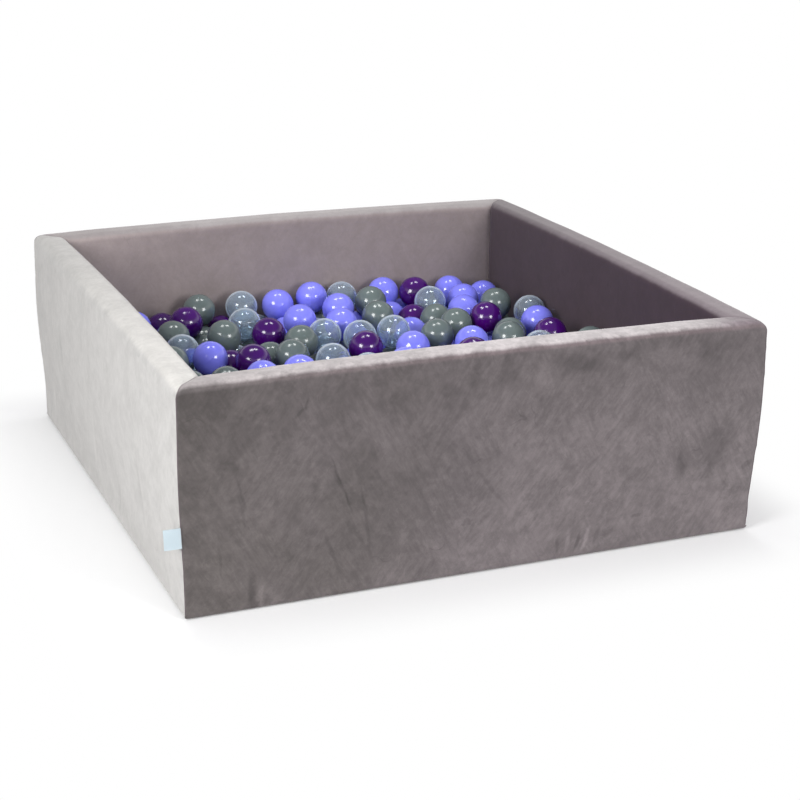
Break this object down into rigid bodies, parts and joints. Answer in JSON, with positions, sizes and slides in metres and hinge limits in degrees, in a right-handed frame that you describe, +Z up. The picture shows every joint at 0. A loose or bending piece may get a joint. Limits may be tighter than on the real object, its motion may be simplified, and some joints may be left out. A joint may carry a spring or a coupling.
{
  "type": "ball pit",
  "caption": "Square padded ball pit with thick velvet-covered foam walls, a foam floor and a heap of loose plastic balls inside.",
  "frame": {"origin": "middle of the flat underside, on the floor plane", "axes": "+Z up, -Y towards the front wall, +X to the right seen from the front"},
  "size_m": [1.1307, 1.11, 0.413],
  "materials": {
    "velvet": "short brushed velvet pile, matt with a soft sheen",
    "foam": "open cell upholstery foam",
    "lining": "plain woven underside fabric",
    "zip_tape": "woven tape with a nylon coil",
    "zip_metal": "painted die cast zinc",
    "ribbon": "plain satin ribbon",
    "ball_blue": "glossy lavender blue blown plastic",
    "ball_grey": "glossy green grey blown plastic",
    "ball_purple": "glossy dark purple blown plastic",
    "ball_clear": "clear blown plastic with a fine mould seam",
    "ball_mixed": "glossy blown plastic balls of the same four colours"
  },
  "bodies": {
    "pit": {"foam_wall_front": "foam", "foam_wall_back": "foam", "foam_wall_left": "foam", "foam_wall_right": "foam", "foam_floor_board": "foam", "cover_front": "velvet", "cover_back": "velvet", "cover_left": "velvet", "cover_right": "velvet", "cover_floor": "velvet", "cover_base": "lining", "zip_tape_upper": "zip_tape", "zip_tape_lower": "zip_tape", "zip_coil_upper": "zip_tape", "zip_coil_lower": "zip_tape", "zip_stop_start": "zip_metal", "zip_stop_end": "zip_metal", "flag_label": "ribbon", "ball_bed": "ball_mixed"},
    "zip_slider": {"zip_slider": "zip_metal"},
    "zip_pull": {"zip_pull": "zip_metal"},
    "ball_01": {"ball_01_grey": "ball_grey"},
    "ball_02": {"ball_02_clear": "ball_clear"},
    "ball_03": {"ball_03_blue": "ball_blue"},
    "ball_04": {"ball_04_blue": "ball_blue"},
    "ball_05": {"ball_05_grey": "ball_grey"},
    "ball_06": {"ball_06_blue": "ball_blue"},
    "ball_07": {"ball_07_purple": "ball_purple"},
    "ball_08": {"ball_08_clear": "ball_clear"},
    "ball_09": {"ball_09_blue": "ball_blue"},
    "ball_10": {"ball_10_grey": "ball_grey"},
    "ball_11": {"ball_11_purple": "ball_purple"},
    "ball_12": {"ball_12_blue": "ball_blue"},
    "ball_13": {"ball_13_purple": "ball_purple"},
    "ball_14": {"ball_14_grey": "ball_grey"},
    "ball_15": {"ball_15_clear": "ball_clear"},
    "ball_16": {"ball_16_blue": "ball_blue"},
    "ball_17": {"ball_17_purple": "ball_purple"},
    "ball_18": {"ball_18_clear": "ball_clear"},
    "ball_19": {"ball_19_blue": "ball_blue"},
    "ball_20": {"ball_20_blue": "ball_blue"},
    "ball_21": {"ball_21_clear": "ball_clear"},
    "ball_22": {"ball_22_grey": "ball_grey"},
    "ball_23": {"ball_23_purple": "ball_purple"},
    "ball_24": {"ball_24_grey": "ball_grey"},
    "ball_25": {"ball_25_grey": "ball_grey"},
    "ball_26": {"ball_26_purple": "ball_purple"},
    "ball_27": {"ball_27_clear": "ball_clear"},
    "ball_28": {"ball_28_clear": "ball_clear"},
    "ball_29": {"ball_29_blue": "ball_blue"},
    "ball_30": {"ball_30_purple": "ball_purple"},
    "ball_31": {"ball_31_blue": "ball_blue"},
    "ball_32": {"ball_32_clear": "ball_clear"},
    "ball_33": {"ball_33_grey": "ball_grey"},
    "ball_34": {"ball_34_blue": "ball_blue"},
    "ball_35": {"ball_35_purple": "ball_purple"},
    "ball_36": {"ball_36_grey": "ball_grey"},
    "ball_37": {"ball_37_blue": "ball_blue"},
    "ball_38": {"ball_38_clear": "ball_clear"},
    "ball_39": {"ball_39_purple": "ball_purple"}
  },
  "joints": [
    {"name": "zip_travel", "type": "slide", "parent": "pit", "child": "zip_slider", "axis": [1, 0, 0], "range_m": [0, 0.946]},
    {"name": "zip_pull_swing", "type": "hinge", "parent": "zip_slider", "child": "zip_pull", "pos_m": [-0.473, 0.5463, 0.024], "axis": [0, 0, 1], "range_deg": [0, 170]},
    {"name": "ball_01_lift", "type": "slide", "parent": "pit", "child": "ball_01", "axis": [0, 0, 1], "range_m": [0, 0.25]},
    {"name": "ball_02_lift", "type": "slide", "parent": "pit", "child": "ball_02", "axis": [0, 0, 1], "range_m": [0, 0.25]},
    {"name": "ball_03_lift", "type": "slide", "parent": "pit", "child": "ball_03", "axis": [0, 0, 1], "range_m": [0, 0.25]},
    {"name": "ball_04_lift", "type": "slide", "parent": "pit", "child": "ball_04", "axis": [0, 0, 1], "range_m": [0, 0.25]},
    {"name": "ball_05_lift", "type": "slide", "parent": "pit", "child": "ball_05", "axis": [0, 0, 1], "range_m": [0, 0.25]},
    {"name": "ball_06_lift", "type": "slide", "parent": "pit", "child": "ball_06", "axis": [0, 0, 1], "range_m": [0, 0.25]},
    {"name": "ball_07_lift", "type": "slide", "parent": "pit", "child": "ball_07", "axis": [0, 0, 1], "range_m": [0, 0.25]},
    {"name": "ball_08_lift", "type": "slide", "parent": "pit", "child": "ball_08", "axis": [0, 0, 1], "range_m": [0, 0.25]},
    {"name": "ball_09_lift", "type": "slide", "parent": "pit", "child": "ball_09", "axis": [0, 0, 1], "range_m": [0, 0.25]},
    {"name": "ball_10_lift", "type": "slide", "parent": "pit", "child": "ball_10", "axis": [0, 0, 1], "range_m": [0, 0.25]},
    {"name": "ball_11_lift", "type": "slide", "parent": "pit", "child": "ball_11", "axis": [0, 0, 1], "range_m": [0, 0.25]},
    {"name": "ball_12_lift", "type": "slide", "parent": "pit", "child": "ball_12", "axis": [0, 0, 1], "range_m": [0, 0.25]},
    {"name": "ball_13_lift", "type": "slide", "parent": "pit", "child": "ball_13", "axis": [0, 0, 1], "range_m": [0, 0.25]},
    {"name": "ball_14_lift", "type": "slide", "parent": "pit", "child": "ball_14", "axis": [0, 0, 1], "range_m": [0, 0.25]},
    {"name": "ball_15_lift", "type": "slide", "parent": "pit", "child": "ball_15", "axis": [0, 0, 1], "range_m": [0, 0.25]},
    {"name": "ball_16_lift", "type": "slide", "parent": "pit", "child": "ball_16", "axis": [0, 0, 1], "range_m": [0, 0.25]},
    {"name": "ball_17_lift", "type": "slide", "parent": "pit", "child": "ball_17", "axis": [0, 0, 1], "range_m": [0, 0.25]},
    {"name": "ball_18_lift", "type": "slide", "parent": "pit", "child": "ball_18", "axis": [0, 0, 1], "range_m": [0, 0.25]},
    {"name": "ball_19_lift", "type": "slide", "parent": "pit", "child": "ball_19", "axis": [0, 0, 1], "range_m": [0, 0.25]},
    {"name": "ball_20_lift", "type": "slide", "parent": "pit", "child": "ball_20", "axis": [0, 0, 1], "range_m": [0, 0.25]},
    {"name": "ball_21_lift", "type": "slide", "parent": "pit", "child": "ball_21", "axis": [0, 0, 1], "range_m": [0, 0.25]},
    {"name": "ball_22_lift", "type": "slide", "parent": "pit", "child": "ball_22", "axis": [0, 0, 1], "range_m": [0, 0.25]},
    {"name": "ball_23_lift", "type": "slide", "parent": "pit", "child": "ball_23", "axis": [0, 0, 1], "range_m": [0, 0.25]},
    {"name": "ball_24_lift", "type": "slide", "parent": "pit", "child": "ball_24", "axis": [0, 0, 1], "range_m": [0, 0.25]},
    {"name": "ball_25_lift", "type": "slide", "parent": "pit", "child": "ball_25", "axis": [0, 0, 1], "range_m": [0, 0.25]},
    {"name": "ball_26_lift", "type": "slide", "parent": "pit", "child": "ball_26", "axis": [0, 0, 1], "range_m": [0, 0.25]},
    {"name": "ball_27_lift", "type": "slide", "parent": "pit", "child": "ball_27", "axis": [0, 0, 1], "range_m": [0, 0.25]},
    {"name": "ball_28_lift", "type": "slide", "parent": "pit", "child": "ball_28", "axis": [0, 0, 1], "range_m": [0, 0.25]},
    {"name": "ball_29_lift", "type": "slide", "parent": "pit", "child": "ball_29", "axis": [0, 0, 1], "range_m": [0, 0.25]},
    {"name": "ball_30_lift", "type": "slide", "parent": "pit", "child": "ball_30", "axis": [0, 0, 1], "range_m": [0, 0.25]},
    {"name": "ball_31_lift", "type": "slide", "parent": "pit", "child": "ball_31", "axis": [0, 0, 1], "range_m": [0, 0.25]},
    {"name": "ball_32_lift", "type": "slide", "parent": "pit", "child": "ball_32", "axis": [0, 0, 1], "range_m": [0, 0.25]},
    {"name": "ball_33_lift", "type": "slide", "parent": "pit", "child": "ball_33", "axis": [0, 0, 1], "range_m": [0, 0.25]},
    {"name": "ball_34_lift", "type": "slide", "parent": "pit", "child": "ball_34", "axis": [0, 0, 1], "range_m": [0, 0.25]},
    {"name": "ball_35_lift", "type": "slide", "parent": "pit", "child": "ball_35", "axis": [0, 0, 1], "range_m": [0, 0.25]},
    {"name": "ball_36_lift", "type": "slide", "parent": "pit", "child": "ball_36", "axis": [0, 0, 1], "range_m": [0, 0.25]},
    {"name": "ball_37_lift", "type": "slide", "parent": "pit", "child": "ball_37", "axis": [0, 0, 1], "range_m": [0, 0.25]},
    {"name": "ball_38_lift", "type": "slide", "parent": "pit", "child": "ball_38", "axis": [0, 0, 1], "range_m": [0, 0.25]},
    {"name": "ball_39_lift", "type": "slide", "parent": "pit", "child": "ball_39", "axis": [0, 0, 1], "range_m": [0, 0.25]}
  ]
}
